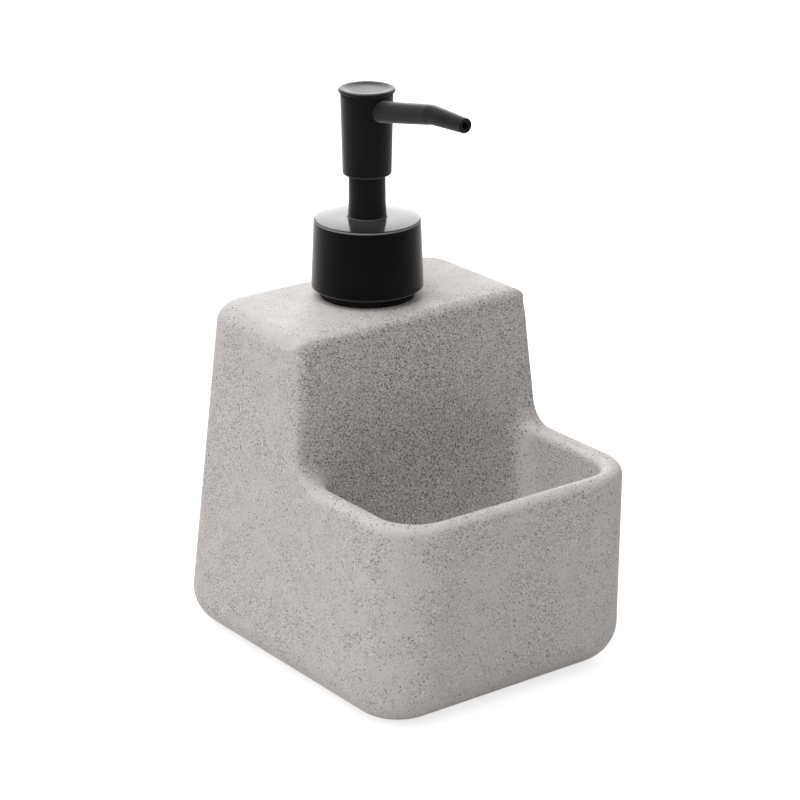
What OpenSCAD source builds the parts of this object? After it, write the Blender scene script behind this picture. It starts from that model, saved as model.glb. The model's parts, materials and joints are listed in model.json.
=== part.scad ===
// Soap pump caddy: a cast stone body with a soap chamber in its tower, an open
// well for a sponge in front of it, and a lotion pump screwed into the tower.
// Millimetres. X is the width, the well faces -Y, Z is up, and the origin is the
// centre of the base on the surface that the caddy stands on.

/* [Body] */
// Width of the body at its base
base_w = 104.5; // [95:0.5:120]
// Depth of the body at its base
base_d = 127.5; // [118:0.5:140]
// Height of the tower above the table
body_h = 116.5; // [112:0.5:130]
// Height of the well's rim above the table
rim_h = 70.5; // [58:0.5:76]
// Thickness of the cast wall
wall = 7; // [6:0.5:8]
// Depth of the tower at its top
tower_d = 53.5; // [50:0.5:60]

/* [Draft] */
// How far each side leans in from base to tower top
side_lean = 5.4; // [0:0.2:6]
// How far the front leans out from base to rim
front_flare = 4.8; // [0:0.2:6]
// How far the back leans in from base to tower top
back_lean = 21; // [10:0.5:24]
// How far the tower front leans forward from its top to the table
tower_lean = 5.6; // [0:0.2:8]

/* [Rounding] */
// Plan radius of the two front corners
front_corner_r = 19; // [15:1:22]
// Plan radius of the two back corners at the base
back_corner_r = 24; // [18:1:28]
// Plan radius of the two back corners at the tower top
back_top_corner_r = 13; // [11:1:18]
// Radius of the tower's upright front edges at the rim
tower_foot_r = 2; // [1.5:0.25:4]
// Radius of the same edges near the tower top
tower_edge_r = 5; // [4:0.5:8]
// Radius between the tower's top and its sides and back
top_edge_r = 6; // [5:0.5:8]
// Radius between the tower's top and its front
top_front_r = 3; // [2:0.25:5]
// Radius round the edge of the base
base_edge_r = 13; // [9:0.5:13.5]
// Hollow radius where the rim and the well walls run into the tower
blend_r = 8.5; // [6:0.5:10]

/* [Sponge well] */
// Height of the well floor above the table
well_floor_h = 20; // [16:1:26]
// Hollow radius round the well floor
well_floor_r = 9; // [7:0.5:10]

/* [Soap chamber] */
// Thickness of the chamber floor
chamber_floor_t = 8; // [6:0.5:9]
// Corner radius inside the chamber
chamber_r = 8; // [7:0.5:9]
// Thickness of the chamber roof
chamber_roof_t = 7; // [6:0.5:8]

/* [Base pad] */
// Thickness of the rubber pad under the base
pad_t = 2; // [1.6:0.1:2.4]
// How far the pad stands below the casting
pad_proud = 0.6; // [0.4:0.1:1]
// Distance of the pad's edges from the sides of the base
pad_inset = 18; // [16:0.5:24]
// Corner radius of the pad
pad_corner_r = 9; // [6:0.5:12]

/* [Mouth] */
// Diameter of the mouth cut in the tower top
mouth_d = 26.4; // [25.6:0.1:27]
// Diameter of the insert's flange on the tower top
flange_d = 31; // [30.5:0.1:32]
// Thickness of that flange
flange_t = 2.6; // [1.8:0.1:3]
// Depth of the insert's sleeve inside the mouth
sleeve_depth = 9; // [7.5:0.5:10]
// Diameter of the threaded neck without its thread
neck_root_d = 24.4; // [24:0.1:24.8]
// Bore of the neck and the sleeve
neck_bore_d = 20; // [19:0.1:20.5]
// Height of the neck above the flange
neck_h = 10.9; // [10.4:0.1:12]

/* [Thread] */
// Rise of the thread in one turn
thread_pitch = 4.2; // [3.9:0.1:4.4]
// How far the thread stands out
thread_depth = 1; // [0.8:0.05:1.1]
// Width of the thread at its root
thread_w = 1.6; // [1.4:0.05:1.7]
// Turns of thread on the neck
thread_turns = 1.3; // [1:0.05:1.4]

/* [Collar] */
// Diameter of the collar at its bottom
collar_d = 37; // [36:0.1:39]
// Diameter of the collar at its top
collar_top_d = 35; // [34:0.1:36]
// Height of the collar
collar_h = 23.5; // [22.5:0.1:26]
// Thickness of the collar's top
collar_top_t = 1.6; // [1.2:0.1:2]
// Small bevel on the collar's edges
collar_bevel = 0.5; // [0.3:0.05:0.8]
// Wall of the threaded cap inside the collar
cap_wall = 1.6; // [1.3:0.1:1.8]
// Thickness of the gasket on the neck
gasket_t = 1.4; // [1.1:0.1:1.8]

/* [Pump cylinder] */
// Bore of the pump cylinder
cylinder_bore_d = 13; // [12.6:0.1:13.4]
// Wall of the pump cylinder
cylinder_wall = 1.1; // [0.9:0.1:1.3]
// Length of the bore below the housing flange
cylinder_depth = 36.5; // [35.5:0.5:40]
// Thickness of the housing flange
housing_flange_t = 2; // [1.6:0.1:2.4]
// Travel of the pump when it is pressed
stroke = 12.5; // [10:0.5:12.5]
// Height of the piston
piston_h = 8.5; // [7:0.5:9]
// Diameter of the ball in the inlet valve
ball_d = 4.8; // [4.2:0.1:5]
// Free lift of the ball
ball_lift = 1.4; // [1:0.1:1.6]
// Diameter of the opening under the ball
orifice_d = 2.9; // [2.4:0.1:3.2]
// Thickness of the disc that keeps the ball down
cage_t = 1.3; // [1.1:0.1:1.5]

/* [Spring] */
// Wire diameter of the return spring
spring_wire_d = 0.9; // [0.7:0.05:1]
// Mean diameter of the return spring
spring_d = 9.2; // [8.9:0.1:9.8]
// Turns of the return spring
spring_turns = 7; // [5:1:8]

/* [Neck and stem] */
// Diameter of the guide neck where it leaves the collar
guide_d = 12.7; // [12.2:0.1:13]
// Diameter of the guide neck at its top
guide_top_d = 11.9; // [11.4:0.1:12]
// Outer diameter of the stem
stem_d = 7.2; // [6.8:0.1:7.4]
// Bore of the stem
stem_bore_d = 4; // [3.4:0.1:4.2]
// Width of the guide neck's flange on the housing
guide_ledge = 1.9; // [1.6:0.1:2.2]
// Depth of the stem's socket in the head
socket_depth = 3.2; // [2.6:0.1:3.6]

/* [Dip tube] */
// Outer diameter of the dip tube
dip_d = 5; // [4.6:0.1:5.2]
// Wall of the dip tube
dip_wall = 0.6; // [0.5:0.05:0.8]
// Height of the tube's end above the chamber floor
dip_clear = 5; // [3:0.5:8]

/* [Head] */
// Gap between collar and head at rest
head_gap = 14.6; // [14.4:0.1:17]
// Diameter of the head at its bottom
head_d = 15.9; // [15.7:0.1:16.8]
// Diameter of the head at its top
head_top_d = 17.2; // [16.8:0.1:18]
// Height of the head below the thumb pad
head_h = 26.7; // [26:0.1:28]
// Thickness of the wall at the head's bottom
head_wall = 1.35; // [1.2:0.05:1.5]
// Diameter of the thumb pad
thumb_d = 18.6; // [18.2:0.1:20]
// Thickness of the thumb pad's rim
thumb_t = 1.2; // [1:0.1:1.6]
// Depth of the dish in the thumb pad
thumb_dish = 0.8; // [0.4:0.1:1]

/* [Spout] */
// Diameter of the spout where it leaves the head
spout_d = 7.1; // [5.8:0.1:7.4]
// Diameter of the spout at its tip
spout_tip_d = 4.9; // [4.6:0.1:5.4]
// Bore of the spout
spout_bore_d = 2.8; // [2.2:0.1:3]
// Reach of the spout's straight part from the pump axis
spout_reach = 33.5; // [22:0.5:38]
// Length of the tip past the bend
spout_tip_len = 15.5; // [8:0.5:17]
// Radius of the bend
spout_bend_r = 14; // [11:0.5:20]
// Depth of the spout's root below the head's top
spout_drop = 5.1; // [5:0.1:5.8]
// Angle at which the spout rises from the head
spout_rise = 10; // [2:1:12]
// Angle at which its tip points down
spout_droop = 0; // [0:1:10]

/* [Hidden] */
$fn = 64;

// Clearances
// between pieces that turn or slide past each other
run_gap = 0.3;
// of a sliding seal in its bore
seal_gap = 0.08;
// of a piece fixed inside another
fit_gap = 0.05;
// added to every cut so that it passes right through
overrun = 1;

// Colours
stone = [0.72, 0.71, 0.69];
black = [0.05, 0.05, 0.055];
clear_white = [0.85, 0.87, 0.86];
steel = [0.7, 0.71, 0.73];
rubber_grey = [0.3, 0.3, 0.3];

// Faces of the casting at height z
function half_w(z) = base_w / 2 - side_lean * z / body_h;
function front_y(z) = -base_d / 2 - front_flare * z / rim_h;
function back_y(z) = base_d / 2 - back_lean * z / body_h;
tower_front = back_y(body_h) - tower_d;
function tower_y(z) = tower_front - tower_lean * (body_h - z) / body_h;
lip_r = wall / 2;
pump_y = (back_y(body_h) + tower_front) / 2;

// Distances to two faces joined with a rounded edge, or with a hollow one
function round_edge(a, b, r) = min(-r, max(a, b)) + norm([max(r + a, 0), max(r + b, 0)]);
function hollow_edge(a, b, r) = max(r, min(a, b)) - norm([max(r - a, 0), max(r - b, 0)]);
function corner_dist(u, v, r) = min(max(u + r, v + r), 0) + norm([max(u + r, 0), max(v + r, 0)]) - r;
function mix(a, b, s) = a + (b - a) * s;
function ease(s) = let (t = min(max(s, 0), 1)) t * t * (3 - 2 * t);

// Outer plan of the casting, with its own corner radius front and back
function plan_dist(p) =
    let (mid = (back_y(p.z) + front_y(p.z)) / 2,
         half = (back_y(p.z) - front_y(p.z)) / 2,
         r = p.y < mid ? front_corner_r
             : mix(back_corner_r, back_top_corner_r, p.z / body_h))
    corner_dist(abs(p.x) - half_w(p.z), abs(p.y - mid) - half, r);

// The well: its side and front walls and its floor, open towards the tower
function well_dist(p) =
    let (plan = corner_dist(abs(p.x) - half_w(p.z) + wall, front_y(p.z) + wall - p.y,
                            front_corner_r - wall))
    round_edge(plan, well_floor_h - p.z, well_floor_r);

// Radius of the outer edge: the lip, the tower's upright edges, its top edge
function edge_r(z) =
    let (foot = ease((z - rim_h) / blend_r),
         up = ease((z - rim_h) / (body_h - rim_h - top_edge_r)),
         top = ease((z - body_h + 2 * tower_edge_r) / tower_edge_r))
    mix(mix(mix(lip_r, tower_foot_r, foot), tower_edge_r, up), top_edge_r, top);

// Signed distance of a point from the casting's outer skin
function skin_dist(p) =
    let (block = round_edge(plan_dist(p), pad_proud - p.z, base_edge_r),
         tub = round_edge(p.z - rim_h, -well_dist(p), lip_r),
         shape = hollow_edge(tub, tower_y(p.z) - p.y, blend_r),
         capped = round_edge(shape, p.z - body_h, top_front_r))
    round_edge(block, capped, edge_r(p.z));

// A point moved on to the skin along the steepest way, in a few steps
probe = wall / 100;
settle_steps = 4;
function slope(p, d) = [skin_dist(p + [probe, 0, 0]) - d, skin_dist(p + [0, probe, 0]) - d,
                        skin_dist(p + [0, 0, probe]) - d] / probe;
function settle(p, n) =
    n == 0 ? p : let (d = skin_dist(p), g = slope(p, d)) settle(p - d * g / (g * g), n - 1);

// Grid lines across the casting. The shares spread the lines evenly round an edge.
arc_share = [0, 0.42, 0.73];
thin_arc_share = 0.6;
x_inset = [0, thin_arc_share * lip_r, lip_r, 2 * lip_r - thin_arc_share * lip_r / 2, wall,
           mix(wall, front_corner_r, arc_share[1] / 2),
           mix(wall, front_corner_r, arc_share[2]), front_corner_r];
x_lines = concat([for (i = x_inset) [-1, i]], [[0, 0]],
                 [for (n = [len(x_inset) - 1:-1:0]) [1, x_inset[n]]]);
// Depth lines: [face they start from, distance]. 0 is front, 1 the tower front, 2 back.
y_lines = concat([for (i = x_inset) [0, i]],
    [for (s = [1, 1 - arc_share[1], 1 - arc_share[2]]) [1, -s * blend_r]], [[1, 0]],
    [for (s = [arc_share[1], arc_share[2], 1]) [1, s * tower_edge_r]],
    [for (s = [1, arc_share[2], arc_share[1], arc_share[1] / 2, 0]) [2, s * back_corner_r]]);
z_lines = concat([for (s = [0, arc_share[1], arc_share[2], 1]) pad_proud + s * base_edge_r],
    [for (s = [0, arc_share[1], arc_share[2], 1]) well_floor_h + s * well_floor_r],
    [mix(well_floor_h + well_floor_r, rim_h - lip_r, 1 / 2)],
    [rim_h - lip_r, rim_h - thin_arc_share * lip_r, rim_h],
    [for (s = [arc_share[1], arc_share[2], 1]) rim_h + s * blend_r],
    [for (s = [2 * tower_edge_r, top_edge_r, top_edge_r / 2, 0]) body_h - s]);
nx = len(x_lines);
ny = len(y_lines);
nz = len(z_lines);
// Grid lines of the wall's inner faces, the tower front, the well floor and the rim
x_wall = 4;
y_front_wall = 4;
y_tower = len(x_inset) + 3;
z_floor = 4;
z_rim = 11;

// Insets [u, v] from the two faces of a corner of radius r, bent round the corner
function bend_round(u, v, r) =
    u >= r || v >= r ? [u, v]
    : let (w = min(u, v), a = 45 * (r - max(u, v)) / (r - w),
           near = r - (r - w) * cos(a), far = r - (r - w) * sin(a))
    u < v ? [near, far] : [far, near];
function grid_point(i, j, k) =
    let (z = z_lines[k], side = x_lines[i], run = y_lines[j],
         u = side[0] == 0 ? half_w(z) : side[1],
         front_c = run[0] == 0 ? bend_round(u, run[1], front_corner_r) : [u, 0],
         back_c = run[0] == 2
             ? bend_round(u, run[1], mix(back_corner_r, back_top_corner_r, z / body_h)) : [u, 0])
    run[0] == 0 ? [side[0] * (half_w(z) - front_c[0]), front_y(z) + front_c[1], z]
    : run[0] == 1 ? [side[0] * (half_w(z) - u), tower_y(z) + run[1], z]
    : [side[0] * (half_w(z) - back_c[0]), back_y(z) - back_c[1], z];
// Whether the cell that starts at grid point i, j, k is stone
function is_stone(i, j, k) =
    i >= 0 && j >= 0 && k >= 0 && i < nx - 1 && j < ny - 1 && k < nz - 1
    && (j >= y_tower || k < z_floor
        || (k < z_rim && (j < y_front_wall || i < x_wall || i >= nx - 1 - x_wall)));
function on_skin(i, j, k) =
    let (n = [for (a = [i - 1, i], b = [j - 1, j], c = [k - 1, k]) if (is_stone(a, b, c)) 1])
    len(n) > 0 && len(n) < 8;
function grid_index(i, j, k) = i + nx * (j + ny * k);
// One face of a cell, on the side that looks along step s
function cell_face(i, j, k, s) =
    let (c = [for (a = [0, 1], b = [0, 1])
                  s.x != 0 ? [i + max(s.x, 0), j + a, k + b]
                  : s.y != 0 ? [i + b, j + max(s.y, 0), k + a]
                  : [i + a, j + b, k + max(s.z, 0)]],
         loop = s.x + s.y + s.z > 0 ? [0, 1, 3, 2] : [0, 2, 3, 1])
    [for (n = loop) grid_index(c[n].x, c[n].y, c[n].z)];
steps = [[1, 0, 0], [-1, 0, 0], [0, 1, 0], [0, -1, 0], [0, 0, 1], [0, 0, -1]];

grid = [for (k = [0:nz - 1], j = [0:ny - 1], i = [0:nx - 1]) [i, j, k]];
skin = [for (g = grid) on_skin(g.x, g.y, g.z)];

// Where the lip climbs into the tower, and where the well floor meets it, the grid is
// evened out before it settles again
even_rounds = 8;
even_reach = 3 * blend_r;
even_spots = [[half_w(rim_h) - lip_r, tower_y(rim_h), rim_h],
              [half_w(well_floor_h) - wall, tower_y(well_floor_h), well_floor_h]];
function even_share(p) =
    let (gap = min([for (q = even_spots) norm([abs(p.x), p.y, p.z] - q)]))
    min(1, max(0, 2 - 2 * gap / even_reach));
function middle(points, g) =
    let (near = [for (s = steps) let (h = g + s)
             if (min(h) >= 0 && h.x < nx && h.y < ny && h.z < nz && skin[grid_index(h.x, h.y, h.z)])
                 points[grid_index(h.x, h.y, h.z)]])
    [for (c = [0:2]) [for (q = near) q[c]] * [for (q = near) 1 / len(near)]];
function evened(points, n) =
    n == 0 ? points
    : evened([for (m = [0:len(points) - 1])
          let (p = points[m], s = skin[m] ? even_share(p) : 0)
          s > 0 ? settle(mix(p, middle(points, grid[m]), s), settle_steps) : p], n - 1);

module casting_skin() {
    rough = [for (m = [0:len(grid) - 1])
        let (p = grid_point(grid[m].x, grid[m].y, grid[m].z)) skin[m] ? settle(p, settle_steps) : p];
    points = evened(rough, even_rounds);
    quads = [for (k = [0:nz - 2], j = [0:ny - 2], i = [0:nx - 2]) if (is_stone(i, j, k))
        for (s = steps) if (!is_stone(i + s.x, j + s.y, k + s.z)) cell_face(i, j, k, s)];
    polyhedron(points, [for (q = quads) for (t = [[0, 1, 2], [0, 2, 3]]) [for (n = t) q[n]]]);
}

// The soap chamber follows the tower's faces at the thickness of the wall
chamber_floor = pad_proud + chamber_floor_t;
chamber_roof = body_h - chamber_roof_t;
module soap_chamber() {
    hull() {
        for (z = [chamber_floor + chamber_r, chamber_roof - chamber_r], side = [-1, 1],
             y = [tower_y(z) + wall + chamber_r, back_y(z) - wall - chamber_r])
            translate([side * (half_w(z) - wall - chamber_r), y, z]) sphere(r = chamber_r, $fn = 24);
    }
}

// The base pad sits in a shallow recess under the casting. Grow widens its outline all round.
module pad_plate(h, grow = 0) {
    w = base_w - 2 * pad_inset + 2 * grow;
    d = base_d - 2 * pad_inset + 2 * grow;
    r = pad_corner_r + grow;
    linear_extrude(height = h) union() {
        square([w - 2 * r, d], center = true);
        square([w, d - 2 * r], center = true);
        for (x = [-1, 1], y = [-1, 1])
            translate([x * (w / 2 - r), y * (d / 2 - r)]) circle(r = r);
    }
}

module caddy_body() {
    color(stone) difference() {
        casting_skin();
        soap_chamber();
        translate([0, pump_y, chamber_roof - chamber_r])
            cylinder(d = mouth_d, h = chamber_roof_t + chamber_r + overrun);
        translate([0, 0, -overrun]) pad_plate(pad_t + overrun, fit_gap);
    }
}

module base_pad() {
    color(rubber_grey) pad_plate(pad_t);
}

// Heights of the closure, from the tower top upwards
flange_top = body_h + flange_t;
neck_top = flange_top + neck_h;
gasket_top = neck_top + gasket_t;
housing_top = gasket_top + housing_flange_t;
cap_roof = housing_top + run_gap;
cap_top = cap_roof + cap_wall;
collar_bottom = flange_top + run_gap;
collar_top = collar_bottom + collar_h;

// Radii of the closure, from the neck outwards
neck_root_r = neck_root_d / 2;
neck_crest_r = neck_root_r + thread_depth;
cap_bore_r = neck_crest_r + 2 * run_gap;
cap_crest_r = neck_root_r + run_gap + fit_gap;
cap_r = cap_bore_r + cap_wall;
// how deep a thread is rooted in its wall
thread_root = thread_depth / 2;

// A round ring from a closed outline of [radius, height] points on the pump axis
module turned(outline) {
    translate([0, pump_y, 0]) rotate_extrude() polygon(outline);
}

// One helical thread as a swept ridge. The ridge fades out at both ends.
thread_sides = 24;
module thread(r_in, r_out, z0, turns, out) {
    n = round(turns * thread_sides);
    fade = thread_sides / 6;
    function section(i) =
        let (a = 360 * i / thread_sides, z = z0 + thread_pitch * i / thread_sides,
             f = min(1, (i + 1 / 2) / fade, (n - i + 1 / 2) / fade),
             root = out ? r_in : r_out,
             crest = out ? mix(r_in + thread_root, r_out, f) : mix(r_out - thread_root, r_in, f),
             h = thread_w / 2, c = thread_w / 4)
        [for (q = [[root, -h], [crest, -c], [crest, c], [root, h]])
            [q.x * cos(a), q.x * sin(a), z + q.y]];
    points = [for (i = [0:n]) each section(i)];
    sides = [for (i = [0:n - 1], j = [0:3])
        let (a = 4 * i + j, b = 4 * i + (j + 1) % 4)
        each [[a, b, a + 4], [b, b + 4, a + 4]]];
    ends = [[0, 2, 1], [0, 3, 2], [4 * n, 4 * n + 1, 4 * n + 2], [4 * n, 4 * n + 2, 4 * n + 3]];
    faces = concat(sides, ends);
    translate([0, pump_y, 0])
        polyhedron(points, out ? faces : [for (f = faces) [f[0], f[2], f[1]]]);
}
thread_start = flange_top + thread_pitch;

module mouth_insert() {
    sleeve_r = mouth_d / 2 - fit_gap;
    color(black) union() {
        turned([[neck_bore_d / 2, body_h - sleeve_depth], [sleeve_r, body_h - sleeve_depth],
                [sleeve_r, body_h], [flange_d / 2, body_h],
                [flange_d / 2, flange_top - collar_bevel],
                [flange_d / 2 - collar_bevel, flange_top], [neck_root_r, flange_top],
                [neck_root_r, neck_top], [neck_bore_d / 2, neck_top]]);
        thread(neck_root_r - thread_root, neck_crest_r, thread_start, thread_turns, true);
    }
}

module sealing_gasket() {
    color(rubber_grey) turned([[neck_bore_d / 2, neck_top], [neck_root_r, neck_top],
                               [neck_root_r, gasket_top], [neck_bore_d / 2, gasket_top]]);
}

// The hole in the cap's roof lets the guide neck's flange through
guide_flange_r = cylinder_bore_d / 2 + cylinder_wall + guide_ledge;
cap_hole_r = guide_flange_r + 2 * run_gap;
module closure_cap() {
    color(black) union() {
        turned([[cap_bore_r, collar_bottom], [cap_r, collar_bottom], [cap_r, cap_top],
                [cap_hole_r, cap_top], [cap_hole_r, cap_roof], [cap_bore_r, cap_roof]]);
        thread(cap_crest_r, cap_bore_r + thread_root, thread_start - thread_pitch / 2,
               thread_turns, false);
    }
}

collar_hole_r = guide_d / 2 + run_gap;
module collar_shroud() {
    bore_r = cap_r + fit_gap;
    attic_r = cap_r - cap_wall / 2;
    under_top = collar_top - collar_top_t;
    color(black) turned([[bore_r, collar_bottom], [collar_d / 2 - collar_bevel, collar_bottom],
        [collar_d / 2, collar_bottom + collar_bevel], [collar_top_d / 2, collar_top - collar_bevel],
        [collar_top_d / 2 - collar_bevel, collar_top], [collar_hole_r, collar_top],
        [collar_hole_r, under_top], [attic_r, under_top], [attic_r, cap_top], [bore_r, cap_top]]);
}

// Heights inside the pump cylinder, from the housing flange downwards
bore_bottom = gasket_top - cylinder_depth;
cage_top = bore_bottom + cage_t;
ball_room_h = ball_d + 3 * ball_lift;
seat_top = bore_bottom - ball_room_h + ball_d / 2;
seat_h = ball_d / 2;
orifice_r = orifice_d / 2;
orifice_h = 2 * cylinder_wall;
room_r = ball_d / 2 + dip_wall;
socket_top = seat_top - seat_h - orifice_h;
socket_h = 2 * dip_d;
module pump_housing() {
    bore_r = cylinder_bore_d / 2;
    body_r = bore_r + cylinder_wall;
    nose_r = dip_d / 2 + fit_gap + cylinder_wall;
    color(clear_white) turned([[dip_d / 2 + fit_gap, socket_top - socket_h],
        [nose_r, socket_top - socket_h], [nose_r, seat_top - seat_h],
        [body_r, seat_top + ball_d / 2], [body_r, gasket_top],
        [neck_root_r, gasket_top], [neck_root_r, housing_top], [bore_r, housing_top],
        [bore_r, bore_bottom], [room_r, bore_bottom], [room_r, seat_top],
        [orifice_r, seat_top - seat_h], [orifice_r, socket_top],
        [dip_d / 2 + fit_gap, socket_top]]);
}

// The ball rests just clear of its conical seat
seat_angle = atan2(room_r - orifice_r, seat_h);
seat_apex = seat_top - room_r / tan(seat_angle);
ball_z = seat_apex + (ball_d / 2 + run_gap / 3) / sin(seat_angle);
module inlet_ball() {
    color(steel) translate([0, pump_y, ball_z]) sphere(d = ball_d);
}

// A disc with three slots that keeps the ball down and carries the spring
cage_slots = 3;
module ball_cage() {
    stop_z = ball_z + ball_d / 2 + ball_lift + run_gap / 2;
    slot_w = cage_t;
    color(clear_white) difference() {
        turned([[0, stop_z], [orifice_r, stop_z], [orifice_r, bore_bottom],
                [cylinder_bore_d / 2 - fit_gap, bore_bottom],
                [cylinder_bore_d / 2 - fit_gap, cage_top], [0, cage_top]]);
        for (n = [0:cage_slots - 1])
            translate([0, pump_y, bore_bottom - overrun]) rotate([0, 0, n * 360 / cage_slots])
                translate([orifice_r + slot_w / 4, -slot_w / 2, 0])
                    cube([room_r - orifice_r, slot_w, cage_t + 2 * overrun]);
    }
}

// Pump rod parts, from the housing flange downwards
guide_bottom = gasket_top - housing_flange_t;
shoulder_top = guide_bottom - run_gap / 2;
shoulder_h = housing_flange_t;
piston_top = shoulder_top - shoulder_h - run_gap;
piston_bottom = piston_top - piston_h;
stem_bottom = piston_bottom + run_gap;
rod_head_h = housing_flange_t;

spring_sides = 6;
spring_rings = 12;
module return_spring() {
    r = spring_wire_d / 2;
    z0 = cage_top + r + fit_gap;
    z1 = piston_bottom - r - fit_gap;
    n = spring_turns * spring_rings;
    points = [for (i = [0:n], j = [0:spring_sides - 1])
        let (a = 360 * i / spring_rings, b = 360 * j / spring_sides,
             q = spring_d / 2 + r * cos(b))
        [q * cos(a), q * sin(a), mix(z0, z1, i / n) + r * sin(b)]];
    sides = [for (i = [0:n - 1], j = [0:spring_sides - 1])
        let (a = spring_sides * i + j, b = spring_sides * i + (j + 1) % spring_sides)
        each [[a, b, a + spring_sides], [b, b + spring_sides, a + spring_sides]]];
    first = [for (j = [spring_sides - 1:-1:0]) j];
    last = [for (j = [0:spring_sides - 1]) spring_sides * n + j];
    color(steel) translate([0, pump_y, 0]) polyhedron(points, concat(sides, [first, last]));
}

// The piston has a sealing lip at each end
module piston() {
    lip = cylinder_bore_d / 2 - seal_gap;
    waist = lip - cylinder_wall / 2;
    bore = stem_d / 2 + seal_gap;
    lip_h = piston_h / 5;
    color(clear_white) turned([[bore, piston_bottom], [lip, piston_bottom],
        [lip, piston_bottom + lip_h], [waist, piston_bottom + 2 * lip_h],
        [waist, piston_top - 2 * lip_h], [lip, piston_top - lip_h], [lip, piston_top],
        [bore, piston_top]]);
}

// A plug in the lower end of the stem, whose head stays under the piston
module piston_rod() {
    head_r = stem_d / 2 - run_gap;
    head_top = piston_bottom - run_gap;
    shank_r = stem_bore_d / 2 - fit_gap;
    shank_top = stem_bottom + piston_h;
    color(clear_white) turned([[0, head_top - rod_head_h], [head_r / 2, head_top - rod_head_h],
        [head_r, head_top - rod_head_h / 2], [head_r, head_top], [shank_r, head_top],
        [shank_r, shank_top], [0, shank_top]]);
}

// Heights of the head, from the collar upwards
head_bottom = collar_top + head_gap;
head_top = head_bottom + head_h;
guide_top = head_bottom + head_wall * 2;
core_bottom = guide_top + stroke + 2 * run_gap;
spout_z = head_top - spout_drop;
stem_top = core_bottom + socket_depth;
module stem() {
    color(black) turned([[stem_bore_d / 2, stem_bottom], [stem_d / 2, stem_bottom],
        [stem_d / 2, shoulder_top - shoulder_h], [stem_d / 2 + cap_wall, shoulder_top - shoulder_h],
        [stem_d / 2 + cap_wall, shoulder_top], [stem_d / 2, shoulder_top],
        [stem_d / 2, stem_top], [stem_bore_d / 2, stem_top]]);
}

// The fixed neck that closes the cylinder and guides the stem
module guide_neck() {
    plug_r = cylinder_bore_d / 2 - fit_gap;
    bore_r = stem_d / 2 + run_gap;
    foot_t = cap_wall;
    color(black) turned([[bore_r, guide_bottom], [plug_r, guide_bottom], [plug_r, housing_top],
        [guide_flange_r, housing_top], [guide_flange_r, housing_top + foot_t],
        [guide_d / 2, housing_top + foot_t], [guide_d / 2, collar_top],
        [guide_top_d / 2, guide_top], [bore_r, guide_top]]);
}

module dip_tube() {
    bottom = chamber_floor + dip_clear;
    r = dip_d / 2;
    color(clear_white) turned([[r - dip_wall, bottom], [r, bottom], [r, socket_top],
                               [r - dip_wall, socket_top]]);
}

// The spout: a round tube swept along a straight run, a bend and a straight tip
spout_sides = 24;
bend_steps = 6;
root_reach = stem_d / 2 + head_wall;
bend_angle = spout_rise + spout_droop;
// direction of the path at angle a above level, in the YZ plane
function heading(a) = [-cos(a), sin(a)];
bend_start = [-spout_reach, spout_z + (spout_reach - root_reach) * tan(spout_rise)];
bend_centre = bend_start + spout_bend_r * [-sin(spout_rise), -cos(spout_rise)];
bend_points = [for (n = [0:bend_steps])
    let (a = spout_rise - bend_angle * n / bend_steps)
    [each (bend_centre + spout_bend_r * [sin(a), cos(a)]), a]];
bend_end = [bend_points[bend_steps].x, bend_points[bend_steps].y];
tip_end = bend_end + spout_tip_len * heading(-spout_droop);
root_start = [-root_reach, spout_z];
head_exit = root_start + head_top_d / 2 * heading(spout_rise);
spout_path = concat([[each root_start, spout_rise], [each head_exit, spout_rise]],
                    bend_points, [[each tip_end, -spout_droop]]);
spout_radii = concat([spout_d / 2, spout_d / 2],
    [for (n = [0:bend_steps]) mix(spout_d / 2, spout_tip_d / 2, 1 / 4 + n / bend_steps / 6)],
    [spout_tip_d / 2]);
module spout() {
    n = len(spout_path);
    function ring(i, r) =
        let (c = spout_path[i], u = [sin(c.z), cos(c.z)])
        [for (j = [0:spout_sides - 1]) let (b = 360 * j / spout_sides)
            [r * cos(b), c.x + r * sin(b) * u.x, c.y + r * sin(b) * u.y]];
    m = spout_sides;
    points = concat([for (i = [0:n - 1]) each ring(i, spout_radii[i])],
                    [for (i = [n - 1:-1:0]) each ring(i, spout_bore_d / 2)]);
    faces = [for (i = [0:2 * n - 1], j = [0:m - 1])
        let (a = m * i + j, b = m * i + (j + 1) % m,
             c = m * ((i + 1) % (2 * n)) + j, d = m * ((i + 1) % (2 * n)) + (j + 1) % m)
        each [[a, c, b], [b, c, d]]];
    color(black) translate([0, pump_y, 0]) polyhedron(points, faces);
}

// Cut for the spout's root, straight along its rising run
module spout_cut(d, reach) {
    translate([0, pump_y - root_reach, spout_z]) rotate([90 - spout_rise, 0, 0])
        cylinder(d = d, h = reach);
}

module head_barrel() {
    bore_r = head_d / 2 - head_wall;
    core_r = bore_r + head_wall / 4;
    edge = head_wall / 3;
    color(black) difference() {
        turned([[bore_r, head_bottom], [head_d / 2 - edge, head_bottom],
                [head_d / 2, head_bottom + edge], [head_top_d / 2, head_top - edge],
                [head_top_d / 2 - edge, head_top], [core_r, head_top], [core_r, core_bottom],
                [bore_r, core_bottom]]);
        spout_cut(spout_d + 2 * fit_gap, head_top_d);
    }
}

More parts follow.
